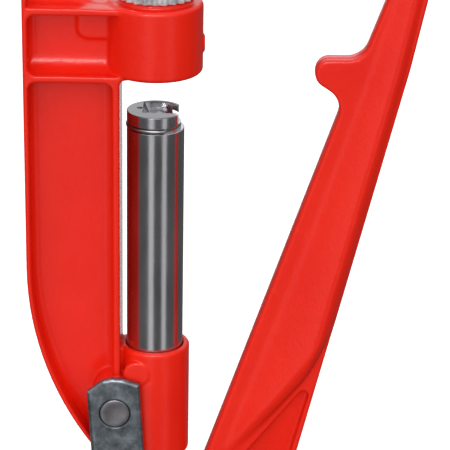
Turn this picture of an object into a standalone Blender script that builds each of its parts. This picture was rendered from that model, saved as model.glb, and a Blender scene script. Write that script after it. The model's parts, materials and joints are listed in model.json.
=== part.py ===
"""Hand-lever punch press: a cast C-frame, a ram pushed up into a die collar, two link plates and a forked lever.

The press is drawn in its own tool frame, in metres: the ram axis is x = 0, the barrel's upper rim is z = 0 and
the middle plane is y = 0, with the front towards -Y. One empty then places it with its lowest point at z = 0.
"""

import math

import bmesh
import bpy
from mathutils import Vector

MM = 0.001
GAP = 0.3 * MM  # left between pieces that touch

# Ram, on the tool frame's z axis
RAM_R = 17.0 * MM
RAM_TOP = 149.0 * MM
RAM_BODY_END = -66.0 * MM
SLOT_FLOOR = 142.6 * MM  # slot for the punch, open to the right and closed by a thin wall at the back
SLOT_END_X = -4.5 * MM
SLOT_FRONT_Y = -6.6 * MM
SLOT_BACK_R = 14.5 * MM
FLAT_X = 13.4 * MM
FLAT_FOOT = 138.4 * MM
GROOVE_Z = (138.8 * MM, 142.0 * MM)
GROOVE_R = 15.0 * MM
WIRE_R = 17.5 * MM
WIRE_OPEN_X = 6.0 * MM  # the snap ring is open to the right of this
TONGUE_HALF = 9.0 * MM
TONGUE_SHOULDER = 14.2 * MM  # keeps the tongue's corners inside the bore

# Collar and barrel of the frame
COLLAR_R = 27.4 * MM
COLLAR_Z = (173.2 * MM, 215.0 * MM)
COLLAR_LIP_Z = 181.0 * MM
COLLAR_LIP_R = 16.0 * MM
COLLAR_BORE_R = 18.4 * MM
BARREL_R = 21.1 * MM
BARREL_Z = (-72.0 * MM, 0.0)
BUSH_WALL = 1.6 * MM
BUSH_LENGTH = 22.0 * MM
BUSH_INSET = 4.0 * MM

# C-frame outline and its webs
FRAME_HALF = 19.5 * MM
WEB_HALF = 3.5 * MM
SPINE_X = -75.7 * MM
THROAT_X = -20.3 * MM
OUTER_FLANGE = 2.8 * MM
INNER_FLANGE = 4.0 * MM
ARM_Z = (172.8 * MM, 214.5 * MM)
RIB_Z = (170.2 * MM, 174.1 * MM)
UPPER_RIB_Z = 210.3 * MM
HEEL_R = 200.0 * MM
HEEL_START_Z = 55.0 * MM
HEEL_END_DEG = 38.5
FOOT_Z = HEEL_START_Z - HEEL_R * math.sin(math.radians(HEEL_END_DEG))
PAD_X = (-45.0 * MM, -24.0 * MM)
PAD_Z = (193.0 * MM, 205.0 * MM)
PAD_PROUD = 2.0 * MM
STOP_Z = 190.0 * MM
STOP_R = 5.2 * MM
STOP_PROUD = 1.0 * MM

# Handle above the arm
HANDLE_HALF = 12.0 * MM
HANDLE_TOP = 396.0 * MM
HANDLE_X = -46.0 * MM
HANDLE_RAMP_Z = (222.0 * MM, 258.0 * MM)

# Pivots: the plates hang from two stub pins, because the bore leaves no room for a through pin, and the lever
# turns on the link pin and the ram pin
RAM_PIN = Vector((0.0, 0.0, -100.0)) * MM
CRANK = 19.0 * MM
LINK_PIN = RAM_PIN - Vector((CRANK, 0.0, 0.0))
FRAME_PIN = Vector((-23.1, 0.0, -36.7)) * MM
FRAME_PIN_R = 9.0 * MM
FRAME_PIN_DEPTH_Y = 12.0 * MM
LINK_PIN_R = 7.5 * MM
RAM_PIN_R = 6.0 * MM
BOSS_R = 22.5 * MM
BOSS_HALF = BARREL_R + 0.1 * MM
PIN_BUSH_WALL = 2.0 * MM
LINK_SLACK = 1.3 * MM  # room round the link pin, where the closed linkage is opened

# Link plates and washers
PLATE_HALF_WIDTH = 16.1 * MM
PLATE_THICK = 6.0 * MM
PLATE_Y = BOSS_HALF + GAP
PLATE_OUTSIDE = PLATE_Y + PLATE_THICK
PLATE_TOP = 23.0 * MM
PLATE_CLIP = 10.0 * MM
WASHER_THICK = 1.0 * MM

# Lever: a thin inner edge with the hook on it, thickening towards the outer edge, and a full-width fork at the foot
CHEEK_HALF = PLATE_Y - WASHER_THICK - 2 * GAP
LEVER_DEPTHS = ((-72 * MM, CHEEK_HALF), (-20 * MM, 16 * MM), (110 * MM, 14.5 * MM), (240 * MM, 12 * MM))
LEVER_EDGE_HALF = 2.8 * MM
LEVER_TAPER = 0.4
BLADE_EDGE = (Vector((28.3, -85.2)) * MM, Vector((109.8, 158.0)) * MM)
GRIP_EDGE = (Vector((141.4, 243.5)) * MM, Vector((170.4, 396.3)) * MM)
BLADE_START = 13.0 * MM  # above the fork's top corner, along the edge
FORK_HALF = TONGUE_HALF + 2 * GAP
FORK_END_X = 23.0 * MM
SHOULDER_HALF = 7.0 * MM
LEVER_WEB_HALF = 2.5 * MM

# Ring nut and die
NUT_R = 23.2 * MM
NUT_Z = (217.6 * MM, 229.0 * MM)
NUT_SEAT_R = 21.0 * MM
NUT_LOBES = 24
NUT_FLUTE = 1.7 * MM
NUT_BORE_R = 14.5 * MM
DIE_R = 18.0 * MM
DIE_BORE_R = 13.0 * MM
DIE_TOP = 196.0 * MM
LOCK_Z = COLLAR_Z[1] - 8 * MM
LOCK_R = 3.0 * MM

# Where the tool frame's origin stands in the part's own frame: the box is centred, and its lowest point is at z = 0
LEVER_REACH_X = 188.4 * MM
LEVER_LOWEST_Z = -132.1 * MM
TOOL_PLACE = Vector((-(SPINE_X + LEVER_REACH_X) / 2, 0.0, -LEVER_LOWEST_Z))
ROUND = 48  # sides of a large round piece


def clear_scene():
    for old in list(bpy.data.objects):
        bpy.data.objects.remove(old, do_unlink=True)


def material(name, colour, roughness, metallic):
    """One Principled material for one piece."""
    made = bpy.data.materials.new(name)
    made.use_nodes = True
    shader = made.node_tree.nodes["Principled BSDF"]
    shader.inputs["Base Color"].default_value = (*colour, 1.0)
    shader.inputs["Roughness"].default_value = roughness
    shader.inputs["Metallic"].default_value = metallic
    return made


def red_paint(name):
    return material(name, (0.78, 0.05, 0.03), 0.28, 0.0)


def zinc(name):
    return material(name, (0.42, 0.46, 0.50), 0.38, 0.9)


def steel(name):
    return material(name, (0.56, 0.57, 0.58), 0.22, 1.0)


def bronze(name):
    return material(name, (0.62, 0.42, 0.18), 0.35, 1.0)


def add_object(name, mesh_data, parent):
    """Turns a bmesh into a named object under the given parent."""
    bmesh.ops.recalc_face_normals(mesh_data, faces=mesh_data.faces)
    mesh = bpy.data.meshes.new(name)
    mesh_data.to_mesh(mesh)
    mesh_data.free()
    made = bpy.data.objects.new(name, mesh)
    bpy.context.scene.collection.objects.link(made)
    made.parent = parent
    mesh.shade_smooth()
    mesh.set_sharp_from_angle(angle=math.radians(35))
    return made


def rounded(corners, step_deg=12.0):
    """Closed outline from (x, z, radius) corners, each corner rounded by an arc of its radius."""
    points = []
    count = len(corners)
    for i, (x, z, radius) in enumerate(corners):
        here = Vector((x, z))
        if radius <= 0.0:
            points.append(here)
            continue
        to_last = (Vector(corners[i - 1][:2]) - here).normalized()
        to_next = (Vector(corners[(i + 1) % count][:2]) - here).normalized()
        half = to_last.angle(to_next) / 2
        centre = here + (to_last + to_next).normalized() * (radius / math.sin(half))
        start = here + to_last * (radius / math.tan(half)) - centre
        sweep = start.angle_signed(here + to_next * (radius / math.tan(half)) - centre)
        steps = max(2, round(abs(math.degrees(sweep)) / step_deg))
        for k in range(steps + 1):
            turn = sweep * k / steps
            cos, sin = math.cos(turn), math.sin(turn)
            points.append(centre + Vector((start.x * cos + start.y * sin, start.y * cos - start.x * sin)))
    return points


def mm_corners(*corners):
    return [(x * MM, z * MM, r * MM) for x, z, r in corners]


def prism(name, outline, y_low, y_high, parent):
    """An x-z outline extruded along Y."""
    made = bmesh.new()
    low = [made.verts.new((p[0], y_low, p[1])) for p in outline]
    high = [made.verts.new((p[0], y_high, p[1])) for p in outline]
    made.faces.new(low)
    made.faces.new(high)
    for i in range(len(outline)):
        j = (i + 1) % len(outline)
        made.faces.new((low[i], low[j], high[j], high[i]))
    return add_object(name, made, parent)


def turned(name, profile, parent, place=Vector(), axis="Z", sides=ROUND, loop=False):
    """A profile of (radius, height) points turned about an axis; loop says that it closes on itself as a ring."""
    made = bmesh.new()
    rows = []
    for radius, height in profile:
        if radius == 0.0:
            rows.append([made.verts.new((0.0, 0.0, height))] * sides)
            continue
        angles = [2 * math.pi * (k + 0.5) / sides for k in range(sides)]
        rows.append([made.verts.new((radius * math.cos(a), radius * math.sin(a), height)) for a in angles])
    pairs = list(zip(rows, rows[1:] + rows[:1])) if loop else list(zip(rows, rows[1:]))
    for lower, upper in pairs:
        for k in range(sides):
            n = (k + 1) % sides
            corners = list(dict.fromkeys((lower[k], lower[n], upper[n], upper[k])))
            if len(corners) > 2:
                made.faces.new(corners)
    if axis == "Y":
        for v in made.verts:
            v.co = Vector((v.co.x, v.co.z, v.co.y))
    if axis == "X":
        for v in made.verts:
            v.co = Vector((v.co.z, v.co.x, v.co.y))
    bmesh.ops.translate(made, verts=made.verts, vec=place)
    return add_object(name, made, parent)


def bar(name, radius, low, high, parent, place=Vector(), axis="Z", sides=ROUND):
    """A solid cylinder."""
    return turned(name, [(0.0, low), (radius, low), (radius, high), (0.0, high)], parent, place, axis, sides)


def ring(name, inner, outer, low, high, parent, place=Vector(), axis="Z", sides=ROUND):
    """A tube with flat ends."""
    profile = [(inner, low), (outer, low), (outer, high), (inner, high)]
    return turned(name, profile, parent, place, axis, sides, loop=True)


def helper(made):
    """Marks a cutter or an added solid, which isn't a piece of the press."""
    made.hide_render = True
    made.display_type = "WIRE"
    return made


def combine(target, other, operation):
    """Boolean of one object with a helper."""
    helper(other)
    change = target.modifiers.new(other.name, "BOOLEAN")
    change.operation = operation
    change.solver = "EXACT"
    change.object = other


def body_empty(name, place, tool):
    """The parent of a moving body's pieces, standing on its joint's axis."""
    made = bpy.data.objects.new(name, None)
    bpy.context.scene.collection.objects.link(made)
    made.parent = tool
    made.location = place
    return made


def under(child, body):
    """Parents a piece drawn in the tool frame to a body's empty without moving it."""
    child.parent = body
    child.location = -body.location
    return child


def heel_arc(inset):
    """Lower left edge of the frame: an arc from the straight spine to the bottom, inset from the outside."""
    centre = Vector((SPINE_X + HEEL_R, HEEL_START_Z))
    steps = 8
    angles = [math.radians(HEEL_END_DEG) * k / steps for k in range(steps + 1)]
    radius = HEEL_R - inset
    return [centre - radius * Vector((math.cos(a), math.sin(a))) for a in angles]


def frame_outline():
    """Side view of the C-frame and its handle, drawn anticlockwise from the handle's top."""
    return (
        rounded([(HANDLE_X - 2 * MM, HANDLE_TOP, 12 * MM), (SPINE_X, HANDLE_TOP, 12 * MM), (SPINE_X, 0.0, 0.0)])[:-1]
        + heel_arc(0.0)
        + rounded(
            [
                (0.0, FOOT_Z, 0.0),
                (0.0, -20 * MM, 0.0),
                (THROAT_X, -20 * MM, 0.0),
                (THROAT_X, ARM_Z[0], 5 * MM),
                (0.0, ARM_Z[0], 0.0),
                (0.0, ARM_Z[1], 0.0),
                (HANDLE_X, ARM_Z[1], 14 * MM),
                (HANDLE_X - 2 * MM, HANDLE_TOP - 12 * MM, 0.0),
            ]
        )[:-1]
    )


def main_pocket():
    """Recess of the long web panel; the pin boss is added in its lower end afterwards."""
    left = heel_arc(OUTER_FLANGE)
    right_x = THROAT_X - INNER_FLANGE
    corner = 4 * MM
    top = rounded(
        [
            (right_x, -68 * MM, 0.0),
            (right_x, RIB_Z[0], corner),
            (SPINE_X + OUTER_FLANGE, RIB_Z[0], corner),
            (SPINE_X + OUTER_FLANGE, HEEL_START_Z + 10 * MM, 0.0),
        ]
    )
    return top + left[:-1]


def upper_pocket():
    """Recess of the arm's panel, which runs into the collar."""
    corner = 4 * MM
    left = SPINE_X + OUTER_FLANGE
    return rounded(
        [
            (-12 * MM, RIB_Z[1], 0.0),
            (-12 * MM, UPPER_RIB_Z, 0.0),
            (left, UPPER_RIB_Z, corner),
            (left, RIB_Z[1], corner),
        ]
    )


def handle_relief(side):
    """y-z outline cut off the handle's foot, so that its depth grows from the web to the full grip."""
    outer = FRAME_HALF + 5 * MM
    points = [
        (WEB_HALF, ARM_Z[1]),
        (WEB_HALF, HANDLE_RAMP_Z[0]),
        (HANDLE_HALF, HANDLE_RAMP_Z[1]),
        (outer, HANDLE_RAMP_Z[1]),
        (outer, ARM_Z[1]),
    ]
    return [(side * y, z) for y, z in points]


def slab_x(name, outline_yz, x_low, x_high, parent):
    """A y-z outline extruded along X."""
    made = bmesh.new()
    low = [made.verts.new((x_low, y, z)) for y, z in outline_yz]
    high = [made.verts.new((x_high, y, z)) for y, z in outline_yz]
    made.faces.new(low)
    made.faces.new(high)
    for i in range(len(outline_yz)):
        j = (i + 1) % len(outline_yz)
        made.faces.new((low[i], low[j], high[j], high[i]))
    return add_object(name, made, parent)


def make_frame(tool):
    """The red casting."""
    casting = prism("frame_casting", frame_outline(), -FRAME_HALF, FRAME_HALF, tool)
    for side, label in ((-1, "front"), (1, "rear")):
        near, far = sorted((side * WEB_HALF, side * (FRAME_HALF + 5 * MM)))
        pocket = prism(f"cut_main_{label}", main_pocket(), near, far, tool)
        combine(casting, pocket, "DIFFERENCE")
        arm = prism(f"cut_arm_{label}", upper_pocket(), near, far, tool)
        pad_y = sorted((side * (WEB_HALF - MM), side * (WEB_HALF + PAD_PROUD)))
        pad_corners = [(PAD_X[0], PAD_Z[0]), (PAD_X[1], PAD_Z[0]), (PAD_X[1], PAD_Z[1]), (PAD_X[0], PAD_Z[1])]
        pad = prism(f"keep_pad_{label}", pad_corners, pad_y[0], pad_y[1], tool)
        combine(arm, pad, "DIFFERENCE")
        combine(casting, arm, "DIFFERENCE")
        foot = slab_x(f"cut_foot_{label}", handle_relief(side), SPINE_X + OUTER_FLANGE, 30 * MM, tool)
        combine(casting, foot, "DIFFERENCE")
        outer = FRAME_HALF + 5 * MM
        edge = [(outer, HANDLE_RAMP_Z[0]), (FRAME_HALF, HANDLE_RAMP_Z[0]), (HANDLE_HALF, HANDLE_RAMP_Z[1])]
        edge += [(HANDLE_HALF, HANDLE_TOP + 5 * MM), (outer, HANDLE_TOP + 5 * MM)]
        edge = [(side * y, z) for y, z in edge]
        taper = slab_x(f"cut_taper_{label}", edge, SPINE_X - 5 * MM, 30 * MM, tool)
        combine(casting, taper, "DIFFERENCE")
    combine(casting, bar("add_collar", COLLAR_R, COLLAR_Z[0], COLLAR_Z[1], tool), "UNION")
    combine(casting, bar("add_barrel", BARREL_R, BARREL_Z[0], BARREL_Z[1], tool), "UNION")
    combine(casting, bar("add_boss", BOSS_R, -BOSS_HALF, BOSS_HALF, tool, FRAME_PIN, "Y"), "UNION")
    seat = bar("add_nut_seat", NUT_SEAT_R, COLLAR_Z[1] - 5 * MM, NUT_Z[0] - GAP, tool)
    combine(casting, seat, "UNION")
    stop = bar("add_stop", STOP_R, COLLAR_R - 4 * MM, COLLAR_R + STOP_PROUD, tool, Vector((0, 0, STOP_Z)), "X", 24)
    combine(casting, stop, "UNION")
    bores = [
        ("cut_die", COLLAR_BORE_R, COLLAR_LIP_Z, NUT_Z[1]),
        ("cut_lip", COLLAR_LIP_R, COLLAR_Z[0] - 5 * MM, COLLAR_LIP_Z + 5 * MM),
        ("cut_bore", RAM_R + GAP, BARREL_Z[0] - 5 * MM, BARREL_Z[1] + 5 * MM),
    ]
    for name, radius, low, high in bores:
        combine(casting, bar(name, radius, low, high, tool), "DIFFERENCE")
    seat_r = RAM_R + 2 * GAP + BUSH_WALL + GAP
    for name, low in bush_places():
        seat = bar(f"cut_{name}", seat_r, low - GAP, low + BUSH_LENGTH + GAP, tool)
        combine(casting, seat, "DIFFERENCE")
    for side, label in ((-1, "front"), (1, "rear")):
        near, far = sorted((side * (FRAME_PIN_DEPTH_Y - GAP), side * 30 * MM))
        hole = bar(f"cut_pin_hole_{label}", FRAME_PIN_R + GAP, near, far, tool, FRAME_PIN, "Y")
        combine(casting, hole, "DIFFERENCE")
    screw_hole = bar("cut_screw", LOCK_R + GAP, 15 * MM, 35 * MM, tool, Vector((0, 0, LOCK_Z)), "Y", 24)
    combine(casting, screw_hole, "DIFFERENCE")
    casting.data.materials.append(red_paint("frame_paint"))


def bush_places():
    return (
        ("ram_bush_upper", BARREL_Z[1] - BUSH_INSET - BUSH_LENGTH),
        ("ram_bush_lower", BARREL_Z[0] + BUSH_INSET),
    )


def make_frame_fittings(tool):
    """Pieces that stay with the frame: guide bushes, die, ring nut, lock screw and stub pins."""
    for name, low in bush_places():
        bush = ring(name, RAM_R + GAP, RAM_R + GAP + BUSH_WALL, low, low + BUSH_LENGTH, tool)
        bush.data.materials.append(bronze(f"{name}_bronze"))
    die = ring("die_insert", DIE_BORE_R, DIE_R, COLLAR_LIP_Z + GAP, DIE_TOP, tool)
    die.data.materials.append(steel("die_steel"))
    nut = ring_nut(tool)
    nut.data.materials.append(zinc("nut_zinc"))
    screw = bar("die_lock_screw", LOCK_R, DIE_R + GAP, COLLAR_R - 1.5 * MM, tool, Vector((0, 0, LOCK_Z)), "Y", 24)
    screw.data.materials.append(steel("lock_screw_steel"))
    for side, label in ((-1, "front"), (1, "rear")):
        pin = chamfered_pin(
            f"frame_pin_{label}", FRAME_PIN_R, side * FRAME_PIN_DEPTH_Y, side * PLATE_OUTSIDE, tool, FRAME_PIN
        )
        pin.data.materials.append(zinc(f"frame_pin_{label}_zinc"))


def chamfered_pin(name, radius, start, end, parent, place):
    """A pin along Y with both edges chamfered."""
    low, high = sorted((start, end))
    chamfer = 0.8 * MM
    profile = [
        (0.0, low), (radius - chamfer, low), (radius, low + chamfer),
        (radius, high - chamfer), (radius - chamfer, high), (0.0, high),
    ]
    return turned(name, profile, parent, place, "Y")


def ring_nut(tool):
    """Fluted head over a plain sleeve that reaches down into the collar."""
    nut = ring("ring_nut", NUT_BORE_R, DIE_R, DIE_TOP + GAP, NUT_Z[1], tool)
    head = bmesh.new()
    sides = NUT_LOBES * 6
    outline = []
    for k in range(sides):
        turn = 2 * math.pi * k / sides
        radius = NUT_R - NUT_FLUTE * (0.5 - 0.5 * math.cos(NUT_LOBES * turn))
        outline.append((radius * math.cos(turn), radius * math.sin(turn)))
    low = [head.verts.new((x, y, NUT_Z[0])) for x, y in outline]
    high = [head.verts.new((x, y, NUT_Z[1])) for x, y in outline]
    head.faces.new(low)
    head.faces.new(high)
    for k in range(sides):
        n = (k + 1) % sides
        head.faces.new((low[k], low[n], high[n], high[k]))
    combine(nut, add_object("add_nut_head", head, tool), "UNION")
    combine(nut, bar("cut_nut_bore", NUT_BORE_R, NUT_Z[0] - 5 * MM, NUT_Z[1] + 5 * MM, tool), "DIFFERENCE")
    return nut


def make_ram(tool):
    """Ram with its stepped top, groove and tongue, and the ring in the groove."""
    body = body_empty("ram_body", Vector((0.0, 0.0, RAM_TOP)), tool)
    profile = [
        (0.0, RAM_BODY_END),
        (RAM_R, RAM_BODY_END),
        (RAM_R, GROOVE_Z[0]),
        (GROOVE_R, GROOVE_Z[0]),
        (GROOVE_R, GROOVE_Z[1]),
        (RAM_R, GROOVE_Z[1]),
        (RAM_R, RAM_TOP),
        (0.0, RAM_TOP),
    ]
    ram = under(turned("ram", profile, tool), body)
    above = RAM_TOP + 2 * MM
    slot_side = [(SLOT_END_X, SLOT_FLOOR), (20 * MM, SLOT_FLOOR), (20 * MM, above), (SLOT_END_X, above)]
    slot = under(prism("cut_slot", slot_side, SLOT_FRONT_Y, 20 * MM, tool), body)
    round_back = under(bar("keep_round_back", SLOT_BACK_R, SLOT_FLOOR - MM, above + MM, tool), body)
    combine(slot, round_back, "INTERSECT")
    combine(ram, slot, "DIFFERENCE")
    flat_side = [(FLAT_X, FLAT_FOOT), (20 * MM, FLAT_FOOT), (20 * MM, above), (FLAT_X, above)]
    combine(ram, under(prism("cut_flat", flat_side, -20 * MM, 20 * MM, tool), body), "DIFFERENCE")
    shoulder = RAM_BODY_END - 6 * MM
    neck = RAM_PIN.z + 15 * MM
    circle = [math.radians(180 + 15 * k) for k in range(13)]
    side = TONGUE_SHOULDER
    tongue_outline = [(side, RAM_BODY_END + MM), (-side, RAM_BODY_END + MM), (-side, shoulder), (-TONGUE_HALF, neck)]
    tongue_outline += [(TONGUE_HALF * math.cos(a), RAM_PIN.z + TONGUE_HALF * math.sin(a)) for a in circle]
    tongue_outline += [(TONGUE_HALF, neck), (side, shoulder)]
    tongue = under(prism("add_tongue", tongue_outline, -TONGUE_HALF, TONGUE_HALF, tool), body)
    combine(ram, tongue, "UNION")
    hole = under(bar("cut_tongue_hole", RAM_PIN_R + GAP, -15 * MM, 15 * MM, tool, RAM_PIN, "Y", 32), body)
    combine(ram, hole, "DIFFERENCE")
    ram.data.materials.append(steel("ram_steel"))
    wire_low, wire_high = GROOVE_Z[0] + GAP, GROOVE_Z[1] - GAP
    snap = under(ring("ram_snap_ring", GROOVE_R + GAP, WIRE_R, wire_low, wire_high, tool), body)
    gap_low, gap_high = GROOVE_Z[0] - MM, GROOVE_Z[1] + MM
    opening = [(WIRE_OPEN_X, gap_low), (20 * MM, gap_low), (20 * MM, gap_high), (WIRE_OPEN_X, gap_high)]
    combine(snap, under(prism("cut_wire", opening, -20 * MM, 20 * MM, tool), body), "DIFFERENCE")
    snap.data.materials.append(steel("snap_ring_steel"))


def plate_outline():
    """Link plate: straight sides parallel to the line of the pins, clipped top corners and a round lower end."""
    along = (FRAME_PIN - LINK_PIN).normalized()
    across = Vector((along.z, 0.0, -along.x))
    half, top, clip = PLATE_HALF_WIDTH, PLATE_TOP, PLATE_CLIP

    def place(base, side, up):
        p = base + across * side + along * up
        return (p.x, p.z)

    round_end = [math.radians(180 + 15 * k) for k in range(13)]
    outline = [place(LINK_PIN, half * math.cos(a), half * math.sin(a)) for a in round_end]
    outline += [
        place(FRAME_PIN, half, top - 5 * MM),
        place(FRAME_PIN, half - clip, top - MM),
        place(FRAME_PIN, 0.0, top),
        place(FRAME_PIN, clip - half, top - MM),
        place(FRAME_PIN, -half, top - 8 * MM),
    ]
    return outline


def make_links(tool):
    """Two plates with the link pin and its washers, turning on the frame's stub pins."""
    body = body_empty("link_body", FRAME_PIN, tool)
    for side, label in ((-1, "front"), (1, "rear")):
        low, high = sorted((side * PLATE_Y, side * PLATE_OUTSIDE))
        plate = under(prism(f"link_plate_{label}", plate_outline(), low, high, tool), body)
        for pin, place, radius in (("frame", FRAME_PIN, FRAME_PIN_R), ("link", LINK_PIN, LINK_PIN_R)):
            hole = bar(f"cut_{pin}_{label}", radius + GAP, low - MM, high + MM, tool, place, "Y")
            combine(plate, under(hole, body), "DIFFERENCE")
        plate.data.materials.append(zinc(f"plate_{label}_zinc"))
        washer_y = sorted((side * (CHEEK_HALF + GAP), side * (CHEEK_HALF + GAP + WASHER_THICK)))
        washer = ring(
            f"link_washer_{label}", LINK_PIN_R + GAP, 13 * MM, washer_y[0], washer_y[1], tool, LINK_PIN, "Y",
        )
        under(washer, body).data.materials.append(zinc(f"washer_{label}_zinc"))
    pin = under(chamfered_pin("link_pin", LINK_PIN_R, -PLATE_OUTSIDE, PLATE_OUTSIDE, tool, LINK_PIN), body)
    pin.data.materials.append(zinc("link_pin_zinc"))


def lever_outline():
    """Side view of the whole lever, anticlockwise from the top of the grip."""
    head = LINK_PIN - Vector((15.0, 0.0, 0.0)) * MM
    return rounded(
        mm_corners((190.0, 393.5, 9.0))
        + [(*GRIP_EDGE[1], 9 * MM), (*GRIP_EDGE[0], 60 * MM)]
        + mm_corners((119.6, 182.5, 13.0), (73.0, 182.3, 8.4))
        + [
            (*BLADE_EDGE[1], 14 * MM),
            (*BLADE_EDGE[0], 12 * MM),
            (head.x, RAM_PIN.z + 14.5 * MM, 13 * MM),
            (head.x, LINK_PIN.z - 15 * MM, 14 * MM),
        ]
        + mm_corners(
            (-8.0, -118.5, 20.0),
            (30.0, -136.0, 30.0),
            (80.0, -107.0, 38.0),
            (147.2, 177.5, 120.0),
        )
    )


def lever_half_depth(z):
    """Largest half thickness of the lever: slim in the grip, full in the fork."""
    if z <= LEVER_DEPTHS[0][0]:
        return LEVER_DEPTHS[0][1]
    for (z0, half0), (z1, half1) in zip(LEVER_DEPTHS, LEVER_DEPTHS[1:]):
        if z <= z1:
            return half0 + (half1 - half0) * (z - z0) / (z1 - z0)
    return LEVER_DEPTHS[-1][1]


def taper_cut(name, edge, edge_half, start, side, parent):
    """What is cut off one side of the lever so that it thins towards an inner edge; start is along that edge."""
    along = (edge[1] - edge[0]).normalized()
    inwards = Vector((along.y, -along.x))
    deep, far = 50 * MM, 30 * MM
    section = [(-4 * deep, edge_half), (0.0, edge_half), (deep, edge_half + LEVER_TAPER * deep), (deep, far)]
    section += [(-4 * deep, far)]
    made = bmesh.new()
    ends = []
    for t in (start, 600 * MM):
        points = [edge[0] + along * t + inwards * u for u, y in section]
        ends.append([made.verts.new((p.x, side * y, p.y)) for p, (u, y) in zip(points, section)])
    made.faces.new(ends[0])
    made.faces.new(ends[1])
    for i in range(len(section)):
        j = (i + 1) % len(section)
        made.faces.new((ends[0][i], ends[0][j], ends[1][j], ends[1][i]))
    return add_object(name, made, parent)


def make_lever(tool):
    """Lever casting with its fork bushes and the ram pin."""
    body = body_empty("lever_body", RAM_PIN, tool)
    lever = under(prism("lever_casting", lever_outline(), -1.0, 1.0, tool), body)
    shape = bmesh.new()
    shape.from_mesh(lever.data)
    for z, _ in LEVER_DEPTHS:
        everything = shape.verts[:] + shape.edges[:] + shape.faces[:]
        bmesh.ops.bisect_plane(shape, geom=everything, plane_co=(0, 0, z), plane_no=(0, 0, 1))
    for v in shape.verts:
        v.co.y = math.copysign(lever_half_depth(v.co.z), v.co.y)
    shape.to_mesh(lever.data)
    shape.free()
    outside = CHEEK_HALF + 5 * MM
    low_side = mm_corners((110.0, 1.4, 0.0), (35.7, -95.0, 0.0), (27.0, -150.0, 0.0), (150.0, -150.0, 0.0))
    pocket = mm_corners((97.9, -19.2, 3.0), (43.5, -90.0, 8.0), (50.0, -122.0, 10.0), (78.0, -98.0, 18.0))
    for side, label in ((-1, "front"), (1, "rear")):
        taper = taper_cut(f"cut_taper_{label}_blade", BLADE_EDGE, LEVER_EDGE_HALF, BLADE_START, side, tool)
        grip_half = LEVER_EDGE_HALF - 0.2 * MM
        grip = taper_cut(f"cut_taper_{label}_grip", GRIP_EDGE, grip_half, -600 * MM, side, tool)
        combine(under(taper, body), under(grip, body), "INTERSECT")
        combine(lever, taper, "DIFFERENCE")
        near, far = sorted((side * SHOULDER_HALF, side * outside))
        cut = under(prism(f"cut_shoulder_{label}", rounded(low_side), near, far, tool), body)
        combine(lever, cut, "DIFFERENCE")
        near, far = sorted((side * LEVER_WEB_HALF, side * outside))
        cut = under(prism(f"cut_pocket_{label}", rounded(pocket), near, far, tool), body)
        combine(lever, cut, "DIFFERENCE")
    slot = mm_corners(
        (-60.0, -60.0, 0.0), (-60.0, -150.0, 0.0), (0.0, -150.0, 0.0), (FORK_END_X / MM, -104.0, 12.0),
        (FORK_END_X / MM, -60.0, 0.0),
    )
    fork = under(prism("cut_fork", rounded(slot), -FORK_HALF, FORK_HALF, tool), body)
    combine(lever, fork, "DIFFERENCE")
    ram_bush_r = RAM_PIN_R + GAP + PIN_BUSH_WALL
    link_bush_in = LINK_PIN_R + LINK_SLACK
    link_bush_r = link_bush_in + PIN_BUSH_WALL * 0.75
    for name, place, radius in (("ram", RAM_PIN, ram_bush_r + GAP), ("link", LINK_PIN, link_bush_r + GAP)):
        hole = under(bar(f"cut_{name}_hole", radius, -30 * MM, 30 * MM, tool, place, "Y"), body)
        combine(lever, hole, "DIFFERENCE")
    lever.data.materials.append(red_paint("lever_paint"))
    for side, label in ((-1, "front"), (1, "rear")):
        near, far = sorted((side * (FORK_HALF + 0.2 * MM), side * CHEEK_HALF))
        bush = under(ring(f"ram_pin_bush_{label}", RAM_PIN_R + GAP, ram_bush_r, near, far, tool, RAM_PIN, "Y"), body)
        bush.data.materials.append(bronze(f"ram_pin_bush_{label}_bronze"))
        bush = under(ring(f"link_pin_bush_{label}", link_bush_in, link_bush_r, near, far, tool, LINK_PIN, "Y"), body)
        bush.data.materials.append(bronze(f"link_pin_bush_{label}_bronze"))
    pin = under(bar("ram_pin", RAM_PIN_R, -CHEEK_HALF, CHEEK_HALF, tool, RAM_PIN, "Y", 32), body)
    pin.data.materials.append(steel("ram_pin_steel"))


def main():
    clear_scene()
    tool = bpy.data.objects.new("tool", None)
    bpy.context.scene.collection.objects.link(tool)
    tool.location = TOOL_PLACE
    make_frame(tool)
    make_frame_fittings(tool)
    make_ram(tool)
    make_links(tool)
    make_lever(tool)


main()
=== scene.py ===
import json
import math
import bmesh
import bpy
import numpy as np
import openvdb
from mathutils import Matrix, Vector


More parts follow.
